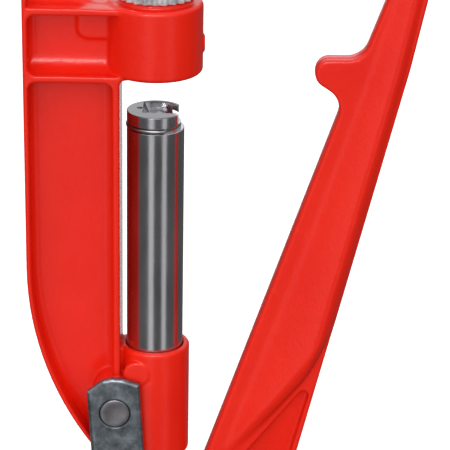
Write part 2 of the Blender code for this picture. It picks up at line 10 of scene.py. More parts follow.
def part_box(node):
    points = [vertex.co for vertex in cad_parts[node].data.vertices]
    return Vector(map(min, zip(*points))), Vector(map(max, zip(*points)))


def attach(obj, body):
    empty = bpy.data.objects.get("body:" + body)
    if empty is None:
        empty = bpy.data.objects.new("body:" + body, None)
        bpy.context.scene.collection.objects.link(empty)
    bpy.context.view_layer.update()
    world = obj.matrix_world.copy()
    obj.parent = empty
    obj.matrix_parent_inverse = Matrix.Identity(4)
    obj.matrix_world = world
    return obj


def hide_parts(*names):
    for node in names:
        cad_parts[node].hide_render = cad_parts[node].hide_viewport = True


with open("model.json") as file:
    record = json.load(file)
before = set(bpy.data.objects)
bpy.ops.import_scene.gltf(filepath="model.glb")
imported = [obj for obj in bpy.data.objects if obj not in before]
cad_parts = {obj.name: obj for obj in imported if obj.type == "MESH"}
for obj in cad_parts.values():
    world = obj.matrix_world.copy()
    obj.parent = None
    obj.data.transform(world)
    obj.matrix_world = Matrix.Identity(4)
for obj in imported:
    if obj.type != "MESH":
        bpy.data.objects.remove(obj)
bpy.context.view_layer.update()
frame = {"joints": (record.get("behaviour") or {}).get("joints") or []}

# Hand-lever punch press: the two red castings, the ram and the steel fittings, with their surfaces.
#
# Shapes are drawn in millimetres in the tool frame: x and y from the ram's axis, z from the barrel's upper
# rim, the front towards -y. The castings, link plates, nut, lock screw and the ram's two ends are signed
# distance fields, negative inside, because their edges are rounded: each is sampled on a grid and skinned.
# The ram's shaft and the other round pieces are turned profiles, and the snap ring is a swept circle.

MM = 0.001
JOINTS = {joint["name"]: Vector(joint.get("pos_m") or (0, 0, 0)) for joint in frame["joints"]}
RAM_LOW, RAM_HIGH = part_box("ram")
RAM_TOP = 149.0
ORIGIN = Vector((JOINTS["lever_swing"].x, 0.0, RAM_HIGH.z - RAM_TOP * MM))
RAM_PIN = (JOINTS["lever_swing"] - ORIGIN) / MM
FRAME_PIN = (JOINTS["link_swing"] - ORIGIN) / MM


def node_box(node):
    """Lowest and highest corner of a CAD node in the tool frame, in millimetres."""
    low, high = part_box(node)
    return (low - ORIGIN) / MM, (high - ORIGIN) / MM


LINK_PIN = sum(node_box("link_pin"), Vector()) / 2
RAM_R = (RAM_HIGH.y - RAM_LOW.y) / 2 / MM
CHEEK_HALF = node_box("lever_casting")[1].y
FRAME_HALF = 19.5
CLEAR = 0.3
FRAME_PIN_R, LINK_PIN_R, RAM_PIN_R = 9.0, 7.5, 6.0
LINK_SLACK = 1.3  # room round the link pin, where the closed linkage is opened
LOCK_R = 3.0

# Frame casting
SPINE_X, THROAT_X = -75.7, -20.3
OUTER_FLANGE, INNER_FLANGE = 2.8, 4.0
WEB_HALF = 3.5
ARM_LOW, ARM_HIGH = 172.8, 214.5
LOWER_RIB = (170.2, 174.1)
UPPER_RIB = 210.3
HEEL_R, HEEL_START, HEEL_END = 200.0, 55.0, math.radians(38.5)
FOOT_Z = HEEL_START - HEEL_R * math.sin(HEEL_END)
COLLAR_R, COLLAR_LOW, COLLAR_HIGH = 27.4, 173.2, 215.0
COLLAR_BORE_R, LIP_R, LIP_HIGH = 18.4, 16.0, 181.0
BARREL_R, BARREL_LOW = 21.1, -72.0
BOSS_R, BOSS_HALF = 20.5, 21.2
PIN_FLOOR = 11.7  # bottom of the stub pins' blind holes, from the middle plane
STOP_X, STOP_Z, STOP_R = 24.0, 190.0, 5.2
HANDLE_X, HANDLE_HALF = -46.0, 12.0
HANDLE_TOP = node_box("frame_casting")[1].z
HANDLE_RAMP = (222.0, 258.0)
NUT_HEAD = 217.6

# Lever: the outer edge of its back, and the thin inner edges of its blade and grip
OUTER_EDGE = ((80.0, -107.0), (147.2, 177.5), (190.0, 393.5))
BLADE_EDGE = ((28.3, -85.2), (109.8, 158.0))
GRIP_EDGE = ((141.4, 243.5), (170.4, 396.3))
EDGE_HALF, TAPER = 2.8, 0.4
SHOULDER_HALF, LEVER_WEB_HALF = 7.0, 2.5

# Brightness of the room seen from the press: what it mirrors, and its soft light
DIM, BRIGHT = 0.1, 0.75
SOFT, SOFT_BEHIND = (0.08, 1.7), 1.0
WHITE = 1.1  # the backdrop, and what is mirrored from straight behind

EYE = (-0.01467, -1.19880, 0.69320)
LOOK_DOWN, ROLL = math.radians(22.0), math.radians(0.99)
LENS = 173.25


class Grid:
    """Sample points in a box of the tool frame, one array for each coordinate."""

    def __init__(self, low, high, step):
        self.low, self.step = np.array(low, float), step
        counts = [int((b - a) / step) + 2 for a, b in zip(low, high)]
        lines = [(a + step * np.arange(n)).astype(np.float32) for a, n in zip(low, counts)]
        self.x, self.y, self.z = np.meshgrid(*lines, indexing="ij", sparse=True)
        self.depth = np.abs(self.y)
        self.around = np.hypot(self.x, self.y)

    def between(self, low, high):
        """Distance to the slab low < z < high."""
        return np.abs(self.z - (low + high) / 2) - (high - low) / 2

    def along_y(self, place, radius):
        """Distance to a cylinder along y through place."""
        return np.hypot(self.x - place[0], self.z - place[2]) - radius


def meet(a, b, edge=0.0):
    """What two fields have in common, with the edge between them rounded."""
    a, b = a + edge, b + edge
    return np.minimum(np.maximum(a, b), 0) + np.hypot(np.maximum(a, 0), np.maximum(b, 0)) - edge


def join(a, b, fillet=0.0):
    return -meet(-a, -b, fillet)


def cut(a, b, edge=0.0):
    return meet(a, -b, edge)


def rounded(corners, step_deg=6.0):
    """Closed outline from (x, z, radius) corners, each corner rounded by an arc of its radius."""
    points = []
    for i, (x, z, radius) in enumerate(corners):
        here = Vector((x, z))
        if radius <= 0.0:
            points.append(here)
            continue
        to_last = (Vector(corners[i - 1][:2]) - here).normalized()
        to_next = (Vector(corners[(i + 1) % len(corners)][:2]) - here).normalized()
        half = to_last.angle(to_next) / 2
        centre = here + (to_last + to_next).normalized() * (radius / math.sin(half))
        start = here + to_last * (radius / math.tan(half)) - centre
        sweep = start.angle_signed(here + to_next * (radius / math.tan(half)) - centre)
        steps = max(2, round(abs(math.degrees(sweep)) / step_deg))
        for k in range(steps + 1):
            cos, sin = math.cos(sweep * k / steps), math.sin(sweep * k / steps)
            points.append(centre + Vector((start.x * cos + start.y * sin, start.y * cos - start.x * sin)))
    return points


def outline(grid, points):
    """Distance in the x-z plane to a closed outline."""
    nearest = np.float32(1e9)
    inside = np.zeros((grid.x.shape[0], 1, grid.z.shape[2]), bool)
    for (ax, az), (bx, bz) in zip(points, points[1:] + points[:1]):
        ex, ez = bx - ax, bz - az
        wx, wz = grid.x - ax, grid.z - az
        t = np.clip((wx * ex + wz * ez) / (ex * ex + ez * ez), 0, 1)
        nearest = np.minimum(nearest, (wx - ex * t) ** 2 + (wz - ez * t) ** 2)
        if az != bz:
            inside ^= ((az > grid.z) != (bz > grid.z)) & (grid.x < ex * (grid.z - az) / ez + ax)
    return np.where(inside, -1, 1).astype(np.float32) * np.sqrt(nearest)


def ease(t):
    t = np.clip(t, 0, 1)
    return t * t * (3 - 2 * t)


def sampled(values, where):
    """Values of a grid's array between its samples."""
    base = np.clip(np.floor(where).astype(int), 0, np.array(values.shape[:3]) - 2)
    part = where - base
    total = 0.0
    for corner in np.ndindex(2, 2, 2):
        weight = np.prod(np.where(corner, part, 1 - part), axis=1)
        i, j, k = (base + corner).T
        total = total + values[i, j, k] * weight
    return total


def surface(name, field, grid, flatness=0.01):
    """Mesh of a field's zero surface, with smooth normals taken from the field."""
    volume = openvdb.FloatGrid(50.0)
    volume.copyFromArray(np.ascontiguousarray(field, dtype=np.float32))
    points, triangles, quads = volume.convertToPolygons(0.0, flatness)
    slopes = [sampled(axis, points) for axis in np.gradient(field)]
    normals = np.stack(slopes, axis=1)
    normals /= np.linalg.norm(normals, axis=1, keepdims=True)
    places = (points * grid.step + grid.low) * MM + np.array(ORIGIN)
    mesh = bpy.data.meshes.new(name)
    mesh.from_pydata(places.tolist(), [], quads.tolist() + triangles.tolist())
    mesh.shade_smooth()
    mesh.normals_split_custom_set_from_vertices(normals.tolist())
    return mesh


def skin(name, field, grid, body, nodes, material, flatness=0.01):
    """Adds a field's surface as one piece."""
    add_piece(name, surface(name, field, grid, flatness), body, nodes, material)


def joined(name, meshes):
    """Several meshes as one, each keeping its own normals."""
    objects = [bpy.data.objects.new(name, mesh) for mesh in meshes]
    for made in objects:
        bpy.context.scene.collection.objects.link(made)
    with bpy.context.temp_override(active_object=objects[0], selected_editable_objects=objects):
        bpy.ops.object.join()
    mesh = objects[0].data
    bpy.data.objects.remove(objects[0])
    return mesh


def add_piece(name, mesh, body, nodes, material):
    piece = bpy.data.objects.new(name, mesh)
    bpy.context.scene.collection.objects.link(piece)
    piece.data.materials.append(material)
    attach(piece, body)
    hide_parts(*nodes)


def turned(made, profile, place=(0, 0, 0), axis="Z", sides=128):
    """Adds a closed (radius, height) profile turned about an axis to a bmesh, in millimetres."""
    rows = []
    for radius, height in profile:
        angles = [2 * math.pi * k / sides for k in range(sides if radius > 0 else 1)]
        ring = []
        for a in angles:
            u, v = radius * math.cos(a), radius * math.sin(a)
            point = Vector((u, v, height)) if axis == "Z" else Vector((v, height, u))
            ring.append(made.verts.new(ORIGIN + (Vector(place) + point) * MM))
        rows.append(ring)
    closed = profile[0][0] > 0
    for low, high in zip(rows, rows[1:] + rows[:1] if closed else rows[1:]):
        for k in range(sides):
            n = (k + 1) % sides
            corners = [low[k % len(low)], low[n % len(low)], high[n % len(high)], high[k % len(high)]]
            made.faces.new(list(dict.fromkeys(corners)))


def finish_mesh(name, made, sharp_deg=30.0):
    bmesh.ops.recalc_face_normals(made, faces=made.faces)
    mesh = bpy.data.meshes.new(name)
    made.to_mesh(mesh)
    made.free()
    mesh.shade_smooth()
    mesh.set_sharp_from_angle(angle=math.radians(sharp_deg))
    return mesh


def chamfered(inner, outer, low, high, chamfer):
    """Profile of a ring, or of a solid pin where inner is 0, with chamfered edges."""
    c = chamfer
    outside = [(outer - c, low), (outer, low + c), (outer, high - c), (outer - c, high)]
    if inner == 0.0:
        return [(0.0, low)] + outside + [(0.0, high)]
    return [(inner + c, low)] + outside + [(inner + c, high), (inner, high - c), (inner, low + c)]


# Materials


def shader(name, roughness, metallic):
    made = bpy.data.materials.new(name)
    made.use_nodes = True
    main = made.node_tree.nodes["Principled BSDF"]
    main.inputs["Roughness"].default_value = roughness
    main.inputs["Metallic"].default_value = metallic
    return made, made.node_tree, main


def texture(tree, kind, scale, **settings):
    """A texture node on the piece's own coordinates; scale is in features per metre on each axis."""
    where = tree.nodes.new("ShaderNodeTexCoord")
    spread = tree.nodes.new("ShaderNodeMapping")
    spread.inputs["Scale"].default_value = scale if isinstance(scale, tuple) else (scale,) * 3
    made = tree.nodes.new(kind)
    tree.links.new(where.outputs["Object"], spread.inputs["Vector"])
    tree.links.new(spread.outputs["Vector"], made.inputs["Vector"])
    for key, value in settings.items():
        made.inputs[key].default_value = value
    made.inputs["Scale"].default_value = 1.0
    return made


def ramp(tree, source, *stops):
    """Colour or value steps along a texture's value: (position, colour)."""
    made = tree.nodes.new("ShaderNodeValToRGB")
    elements = made.color_ramp.elements
    while len(elements) < len(stops):
        elements.new(0.5)
    for element, (position, colour) in zip(elements, stops):
        element.position = position
        element.color = colour if len(colour) == 4 else (*colour, 1.0)
    tree.links.new(source, made.inputs["Fac"])
    return made.outputs["Color"]


def grey(value):
    return (value, value, value)


def bump(tree, heights, into):
    """Chains (height socket, distance in metres, strength) into one normal."""
    last = None
    for socket, distance, strength in heights:
        made = tree.nodes.new("ShaderNodeBump")
        made.inputs["Distance"].default_value = distance
        made.inputs["Strength"].default_value = strength
        tree.links.new(socket, made.inputs["Height"])
        if last:
            tree.links.new(last, made.inputs["Normal"])
        last = made.outputs["Normal"]
    tree.links.new(last, into)


def red_paint():
    """Glossy enamel over a cast skin: orange peel, slow waves of the casting and a little colour drift."""
    made, tree, main = shader("red_paint", 0.25, 0.0)
    drift = texture(tree, "ShaderNodeTexNoise", 24.0, Detail=2.0)
    colour = ramp(tree, drift.outputs["Fac"], (0.3, (0.83, 0.015, 0.005)), (0.7, (0.89, 0.019, 0.006)))
    tree.links.new(colour, main.inputs["Base Color"])
    peel = texture(tree, "ShaderNodeTexNoise", 720.0, Detail=3.0, Roughness=0.6)
    waves = texture(tree, "ShaderNodeTexNoise", 130.0, Detail=1.0)
    gloss = ramp(tree, peel.outputs["Fac"], (0.3, grey(0.17)), (0.75, grey(0.28)))
    tree.links.new(gloss, main.inputs["Roughness"])
    bump(
        tree,
        [(waves.outputs["Fac"], 0.0006, 0.25), (peel.outputs["Fac"], 0.0003, 0.5)],
        main.inputs["Normal"],
    )
    main.inputs["Specular IOR Level"].default_value = 0.35
    return made


def ground_steel():
    """Ground steel with an oily film: rings, specks and stains; the ram's upper end face is darkened by
    painted shade.
    """
    made, tree, main = shader("ground_steel", 0.2, 1.0)
    stains = texture(tree, "ShaderNodeTexNoise", (70.0, 70.0, 22.0), Detail=4.0)
    colour = ramp(tree, stains.outputs["Fac"], (0.35, (0.54, 0.54, 0.56)), (0.65, (0.66, 0.66, 0.69)))
    place = tree.nodes.new("ShaderNodeTexCoord")
    height = tree.nodes.new("ShaderNodeSeparateXYZ")
    tree.links.new(place.outputs["Object"], height.inputs["Vector"])
    # Painted shade: colour darkened towards near-black grey on the ram's upper end face, which would
    # otherwise mirror the bright room.
    painted_shade_top = tree.nodes.new("ShaderNodeMapRange")
    painted_shade_top.inputs["From Min"].default_value = RAM_HIGH.z - 0.5 * MM
    painted_shade_top.inputs["From Max"].default_value = RAM_HIGH.z - 0.1 * MM
    painted_shade_top.inputs["To Min"].default_value = 0.0
    painted_shade_top.inputs["To Max"].default_value = 0.75
    tree.links.new(height.outputs["Z"], painted_shade_top.inputs["Value"])
    painted_shade = tree.nodes.new("ShaderNodeMix")
    painted_shade.data_type = "RGBA"
    tree.links.new(painted_shade_top.outputs["Result"], painted_shade.inputs["Factor"])
    tree.links.new(colour, painted_shade.inputs["A"])
    painted_shade.inputs["B"].default_value = (0.10, 0.10, 0.11, 1.0)
    tree.links.new(painted_shade.outputs["Result"], main.inputs["Base Color"])
    rings = texture(tree, "ShaderNodeTexNoise", (60.0, 60.0, 9000.0), Detail=2.0)
    gloss = ramp(tree, stains.outputs["Fac"], (0.3, grey(0.16)), (0.7, grey(0.26)))
    tree.links.new(gloss, main.inputs["Roughness"])
    specks = texture(tree, "ShaderNodeTexNoise", (900.0, 900.0, 500.0), Detail=2.0)
    bump(
        tree,
        [(rings.outputs["Fac"], 0.00002, 0.3), (specks.outputs["Fac"], 0.00006, 0.3)],
        main.inputs["Normal"],
    )
    return made


def zinc_plate():
    """Blue zinc plate over a rolled and tumbled plate: mottled, with small pits."""
    made, tree, main = shader("zinc_plate", 0.4, 0.9)
    mottle = texture(tree, "ShaderNodeTexNoise", 110.0, Detail=6.0, Roughness=0.65)
    colour = ramp(
        tree,
        mottle.outputs["Fac"],
        (0.30, (0.10, 0.11, 0.125)),
        (0.48, (0.23, 0.26, 0.29)),
        (0.68, (0.46, 0.51, 0.56)),
    )
    tree.links.new(colour, main.inputs["Base Color"])
    gloss = ramp(tree, mottle.outputs["Fac"], (0.3, grey(0.5)), (0.7, grey(0.3)))
    tree.links.new(gloss, main.inputs["Roughness"])
    pits = texture(tree, "ShaderNodeTexNoise", 900.0, Detail=2.0)
    bump(
        tree,
        [(mottle.outputs["Fac"], 0.0003, 0.3), (pits.outputs["Fac"], 0.0001, 0.3)],
        main.inputs["Normal"],
    )
    return made


def plain_metal(name, colour, dark, roughness, metallic=1.0):
    """A turned metal with fine tool marks."""
    made, tree, main = shader(name, roughness, metallic)
    tone = texture(tree, "ShaderNodeTexNoise", 200.0, Detail=4.0)
    shade = ramp(tree, tone.outputs["Fac"], (0.35, dark), (0.65, colour))
    tree.links.new(shade, main.inputs["Base Color"])
    marks = texture(tree, "ShaderNodeTexNoise", 1500.0, Detail=2.0)
    bump(tree, [(marks.outputs["Fac"], 0.00004, 0.4)], main.inputs["Normal"])
    return made


# Castings


def heel_arc(inset):
    """Lower left edge of the frame: an arc from the straight spine to the foot, inset from the outside."""
    centre = Vector((SPINE_X + HEEL_R, HEEL_START))
    steps = 16
    turns = [HEEL_END * k / steps for k in range(steps + 1)]
    return [centre - (HEEL_R - inset) * Vector((math.cos(a), math.sin(a))) for a in turns]


def frame_side():
    """Outline of the C-frame and its handle."""
    top = [(HANDLE_X - 2, HANDLE_TOP, 12), (SPINE_X, HANDLE_TOP, 12), (SPINE_X, 0, 0)]
    inside = [
        (0, FOOT_Z, 0),
        (0, -20, 0),
        (THROAT_X, -20, 0),
        (THROAT_X, ARM_LOW, 5),
        (0, ARM_LOW, 0),
        (0, ARM_HIGH, 0),
        (HANDLE_X, ARM_HIGH, 14),
        (HANDLE_X - 2, HANDLE_TOP - 12, 0),
    ]
    return rounded(top)[:-1] + heel_arc(0.0) + rounded(inside)[:-1]


def long_pocket():
    left, right, corner = SPINE_X + OUTER_FLANGE, THROAT_X - INNER_FLANGE, 5
    upper = [
        (right, -68, 0),
        (right, LOWER_RIB[0], corner),
        (left, LOWER_RIB[0], corner),
        (left, HEEL_START + 10, 0),
    ]
    return rounded(upper) + heel_arc(OUTER_FLANGE)[:-1]


def arm_pocket():
    left, corner = SPINE_X + OUTER_FLANGE, 5
    return rounded(
        [(-8, LOWER_RIB[1], 0), (-8, UPPER_RIB, 0), (left, UPPER_RIB, corner), (left, LOWER_RIB[1], corner)]
    )


def make_frame(paint):
    """The C-frame: side outline, recessed panels, collar, barrel, pin bosses and handle."""
    grid = Grid((-78.0, -29.0, -75.0), (31.0, 29.0, HANDLE_TOP + 2.0), 0.7)
    depth = grid.depth
    rise = ease((grid.z - HANDLE_RAMP[0]) / (HANDLE_RAMP[1] - HANDLE_RAMP[0]))
    half = FRAME_HALF + (HANDLE_HALF - FRAME_HALF) * rise
    edge = 1.5 + 7.5 * rise
    casting = meet(outline(grid, frame_side()), depth - half, edge)
    rim, fillet = 1.2, 4.5
    casting = cut(casting, meet(outline(grid, long_pocket()), WEB_HALF - depth, fillet), rim)
    panel = meet(outline(grid, arm_pocket()), WEB_HALF - depth, fillet)
    panel = meet(panel, meet(LOWER_RIB[1] - grid.z, WEB_HALF - depth, 11.0))
    pad_side = rounded([(-45, 193, 6), (-10, 193, 0), (-10, 214, 0), (-45, 214, 0)])
    pad = meet(outline(grid, pad_side), depth - WEB_HALF - 2.0, 1.6)
    casting = cut(casting, cut(panel, pad, 2.5), rim)
    foot = np.maximum(SPINE_X + OUTER_FLANGE - grid.x, np.abs(grid.z - 235.0) - 20.5)
    web = WEB_HALF + (HANDLE_HALF - WEB_HALF) * rise
    casting = cut(casting, meet(foot, web - depth, 5.0), rim)
    collar = meet(grid.around - COLLAR_R, grid.between(COLLAR_LOW, COLLAR_HIGH), 2.4)
    casting = join(casting, collar, 2.0)
    barrel = meet(grid.around - BARREL_R, grid.between(BARREL_LOW, 0.0), 2.2)
    casting = join(casting, barrel, 3.0)
    boss = meet(grid.along_y(FRAME_PIN, BOSS_R), np.abs(grid.x - FRAME_PIN.x) - 15.0, 9.0)
    casting = join(casting, meet(boss, depth - BOSS_HALF, 1.2), 1.5)
    casting = join(casting, meet(grid.along_y((-10.5, 0.0, -13.5), 7.8), depth - BOSS_HALF, 1.2), 1.2)
    casting = join(casting, meet(grid.around - 21.0, grid.between(200.0, NUT_HEAD - CLEAR), 0.8), 1.0)
    stop = np.hypot(grid.y, grid.z - STOP_Z) - STOP_R
    stop = meet(stop, np.abs(grid.x - STOP_X) - 4.4, 1.2)
    casting = join(casting, stop, 0.8)
    casting = cut(casting, meet(grid.around - COLLAR_BORE_R, grid.between(LIP_HIGH, 240.0), 0.3), 0.8)
    casting = cut(casting, meet(grid.around - LIP_R, grid.between(160.0, 190.0)), 0.8)
    casting = cut(casting, meet(grid.around - RAM_R - CLEAR, grid.between(-90.0, 20.0)), 1.2)
    for node in ("ram_bush_upper", "ram_bush_lower"):
        low, high = node_box(node)
        seat = meet(grid.around - high.y - CLEAR, grid.between(low.z - CLEAR, high.z + CLEAR))
        casting = cut(casting, seat)
    for side in (-1, 1):
        low, high = sorted((side * PIN_FLOOR, side * 30.0))
        along_pin = np.abs(grid.y - (low + high) / 2) - (high - low) / 2
        hole = meet(grid.along_y(FRAME_PIN, FRAME_PIN_R + CLEAR), along_pin)
        casting = cut(casting, hole, 0.6)
    lock = node_box("die_lock_screw")
    middle = (lock[0] + lock[1]) / 2
    hole = np.maximum(grid.along_y(middle, LOCK_R + CLEAR), 15.0 - grid.y)
    casting = cut(casting, hole, 0.8)
    skin("c_frame", casting, grid, "frame", ["frame_casting"], paint, 0.008)


def lever_side():
    """Outline of the lever: grip, stop hook, blade, fork head and elbow."""
    head_x = LINK_PIN.x - 15.0
    return rounded(
        [
            (*OUTER_EDGE[2], 9),
            (*GRIP_EDGE[1], 9),
            (*GRIP_EDGE[0], 60),
            (119.6, 182.5, 13),
            (73, 182.3, 8.4),
            (*BLADE_EDGE[1], 14),
            (*BLADE_EDGE[0], 12),
            (head_x, RAM_PIN.z + 14.5, 13),
            (head_x, LINK_PIN.z - 15, 14),
            (-8, -118.5, 20),
            (30, -135.1, 30),
            (*OUTER_EDGE[0], 38),
            (*OUTER_EDGE[1], 120),
        ]
    )


def half_plane(grid, a, b):
    """Distance to the line from a to b in the x-z plane, negative on its left."""
    ex, ez = b[0] - a[0], b[1] - a[1]
    return ((grid.x - a[0]) * ez - (grid.z - a[1]) * ex) / math.hypot(ex, ez)


def past_start(grid, line):
    """Distance past the first point of a line, along the line, negative before it."""
    (ax, az), (bx, bz) = line
    return ((grid.x - ax) * (bx - ax) + (grid.z - az) * (bz - az)) / math.hypot(bx - ax, bz - az)


def make_lever(paint):
    """The lever: a blade from a thin inner edge to a rolled outer one, a recessed web and a fork."""
    grid = Grid((-37.0, -21.5, -134.0), (192.5, 21.5, 399.0), 0.8)
    depth = grid.depth
    side = outline(grid, lever_side())
    half = np.interp(grid.z, (-72, -20, 110, 240), (CHEEK_HALF, 16, 14.5, 12)).astype(np.float32)
    outer = np.maximum(half_plane(grid, *OUTER_EDGE[:2]), half_plane(grid, *OUTER_EDGE[1:]))
    small_roll, extra_roll, back_width = 2.4, 10.6, 26.0
    roll = small_roll + extra_roll * ease(1 + outer / back_width)
    inner = -join(half_plane(grid, *BLADE_EDGE[::-1]), half_plane(grid, *GRIP_EDGE[::-1]), 20.0)
    wedge = EDGE_HALF + TAPER * np.maximum(inner, 0)
    blend = 11.0
    overlap = np.clip(1 - np.abs(wedge - half) / blend, 0, 1)
    face = depth - np.minimum(wedge, half) + blend / 4 * overlap**2
    head = meet(meet(side, depth - half, 2.0), past_start(grid, BLADE_EDGE), 2.0)
    lever = join(meet(side, face, roll), head, 6.0)
    low_side = rounded([(132, 30, 0), (35.7, -95, 14), (27, -150, 0), (150, -150, 0)])
    lever = cut(lever, outline(grid, low_side), 11.0)
    lever = join(lever, meet(side, depth - SHOULDER_HALF, 1.6), 1.0)
    recess = rounded([(97.9, -19.2, 3), (43.5, -90, 8), (50, -122, 10), (78, -98, 18)])
    lean, lean_start, lean_width = 0.1, 4.0, 18.0
    into_recess = half_plane(grid, (35.7, -95), (110, 1.4)) - lean_start
    floor = LEVER_WEB_HALF - lean * np.clip(into_recess, 0, lean_width)
    lever = cut(lever, meet(outline(grid, recess), floor - depth, 1.5), 0.8)
    fork_half = node_box("ram_pin_bush_rear")[0].y - 0.2
    slot = rounded([(-60, -60, 0), (-60, -150, 0), (0, -150, 0), (23, -104, 12), (23, -60, 0)])
    lever = cut(lever, meet(outline(grid, slot), depth - fork_half, 1.0), 1.2)
    for node, place in (("ram_pin_bush_rear", RAM_PIN), ("link_pin_bush_rear", LINK_PIN)):
        low_corner, high_corner = node_box(node)
        radius = (high_corner.x - low_corner.x) / 2 + CLEAR
        lever = cut(lever, grid.along_y(place, radius), 0.6)
    skin("hand_lever", lever, grid, "lever", ["lever_casting"], paint, 0.004)


# Steel pieces


def make_ram(steel):
    """Ram: turned shaft with a snap-ring groove, slotted head and a tongue at its foot."""
    groove_low, groove_high, groove_r = 138.8, 142.0, 15.0
    floor, undercut_top, mouth_x, front_y, flat_x = 142.6, 145.0, 9.6, -6.6, 13.4
    shaft_low, tongue_half, shoulder_half = -66.0, 9.0, 14.2
    top = Grid((-18.0, -18.0, 137.0), (18.0, 18.0, RAM_TOP + 1.0), 0.22)
    head = meet(top.around - RAM_R, top.between(groove_high, RAM_TOP), 0.45)
    slot_end = -4.5 - top.x - 0.45 * (top.z - floor)
    slot = meet(np.maximum(slot_end, front_y - top.y), floor - top.z, 0.4)
    head = cut(head, meet(slot, top.around - 14.5, 0.2), 0.3)
    under = np.maximum(-2.0 - top.x, top.between(floor, undercut_top))
    head = cut(head, np.maximum(np.maximum(under, -9.0 - top.y), top.around - 15.6), 0.15)
    mouth = np.maximum(mouth_x - top.x, front_y - top.y)
    head = cut(head, np.maximum(mouth, top.between(floor, undercut_top)), 0.15)
    corner = ((mouth_x - top.x) * 3.9 + (front_y - top.y) * 3.8) / 5.45
    head = cut(head, np.maximum(np.maximum(corner, floor - top.z), top.y + 6.4), 0.3)
    head = cut(head, flat_x - top.x, 0.4)
    dimple = np.sqrt((top.x + 9.4) ** 2 + (top.y - 2.0) ** 2 + (top.z - RAM_TOP - 0.9) ** 2) - 1.9
    head = cut(head, dimple, 0.2)
    foot = Grid((-16.0, -10.5, RAM_PIN.z - 10.5), (16.0, 10.5, -61.0), 0.35)
    width = np.interp(foot.z, (RAM_PIN.z + 15.0, -72.0), (tongue_half, shoulder_half)).astype(np.float32)
    sides = np.maximum(np.abs(foot.x) - width, RAM_PIN.z - foot.z)
    tongue = np.minimum(sides, foot.along_y(RAM_PIN, tongue_half))
    tongue = meet(np.maximum(tongue, foot.z + 63.0), foot.depth - tongue_half, 0.7)
    tongue = cut(tongue, foot.along_y(RAM_PIN, RAM_PIN_R + CLEAR), 0.5)
    shaft = bmesh.new()
    profile = [(0.0, shaft_low), (RAM_R - 0.8, shaft_low), (RAM_R, shaft_low + 0.8)]
    profile += [(RAM_R, groove_low - 0.3)]
    profile += [(RAM_R - 0.3, groove_low), (groove_r, groove_low), (groove_r, groove_high + 0.2)]
    turned(shaft, profile + [(0.0, groove_high + 0.2)], sides=192)
    shaft_mesh = finish_mesh("shaft", shaft)
    meshes = [shaft_mesh, surface("head", head, top), surface("tongue", tongue, foot)]
    add_piece("ram_bar", joined("ram_bar", meshes), "ram", ["ram"], steel)


def make_snap_ring(dark):
    """Open wire ring in the ram's groove."""
    centre_r, wire_r, height = 16.3, 1.2, 140.4
    opening = math.asin(6.0 / centre_r)
    turns = [math.pi / 2 - opening + (math.pi + 2 * opening) * k / 96 for k in range(97)]
    made = bmesh.new()
    rows = []
    for shrink, k in [(0.4, 0), (0.85, 0)] + [(1.0, k) for k in range(1, 96)] + [(0.85, 96), (0.4, 96)]:
        out = Vector((math.cos(turns[k]), math.sin(turns[k]), 0))
        place = out * centre_r + Vector((0, 0, height))
        nudge = Vector((-out.y, out.x, 0)) * (0.35 if shrink == 0.4 else 0.0) * (-1 if k == 0 else 1)
        around = [2 * math.pi * n / 20 for n in range(20)]
        ring = [
            place + nudge + (out * math.cos(a) + Vector((0, 0, math.sin(a)))) * wire_r * shrink
            for a in around
        ]
        rows.append([made.verts.new(ORIGIN + p * MM) for p in ring])
    for first, second in zip(rows, rows[1:]):
        for n in range(20):
            made.faces.new((first[n - 1], first[n], second[n], second[n - 1]))
    made.faces.new(rows[0])
    made.faces.new(rows[-1])
    add_piece("snap_ring", finish_mesh("snap_ring", made, 50), "ram", ["ram_snap_ring"], dark)


def make_nut(zinc):
    """Fluted ring nut over its plain sleeve."""
    low, high = node_box("ring_nut")
    grid = Grid((-24.5, -24.5, low.z - 1.2), (24.5, 24.5, high.z + 1.2), 0.4)
    lobes, flute, sleeve_r, bore_r = 24, 1.7, 18.0, 14.5
    turn = np.arctan2(grid.y, grid.x)
    flutes = high.x - flute * (0.5 - 0.5 * np.cos(lobes * turn))
    nut = meet(grid.around - flutes, grid.between(NUT_HEAD, high.z), 1.3)
    sleeve = meet(grid.around - sleeve_r, grid.between(low.z, high.z - 2.0), 0.5)
    nut = cut(join(nut, sleeve, 0.4), grid.around - bore_r, 1.0)
    skin("fluted_nut", nut, grid, "frame", ["ring_nut"], zinc)


def plate_side():
    """Link plate: straight sides along the line of the pins, clipped top corners and a round lower end."""
    base = Vector((FRAME_PIN.x, FRAME_PIN.z))
    end = Vector((LINK_PIN.x, LINK_PIN.z))
    along = (base - end).normalized()
    sideways = Vector((along.y, -along.x))
    half, top, clip = 16.1, 23.0, 10.0
    round_end = [math.radians(180 + 6 * k) for k in range(31)]
    points = [end + sideways * half * math.cos(a) + along * half * math.sin(a) for a in round_end]
    upper = [(half, top - 5), (half - clip, top - 1), (0, top), (clip - half, top - 1), (-half, top - 8)]
    return points + [base + sideways * side + along * up for side, up in upper]


def faced_pin(radius, low, high):
    """Pin with rounded edges and a shallow turned recess in each end."""
    rim = [(radius - 1.0, 0.0), (radius - 0.45, 0.12), (radius - 0.12, 0.45), (radius, 1.0)]
    dish = [(0.0, 0.55), (radius * 0.3, 0.5), (radius * 0.55, 0.3), (radius * 0.72, 0.0)]
    end = dish + rim
    return [(r, low + h) for r, h in end] + [(r, high - h) for r, h in reversed(end)]


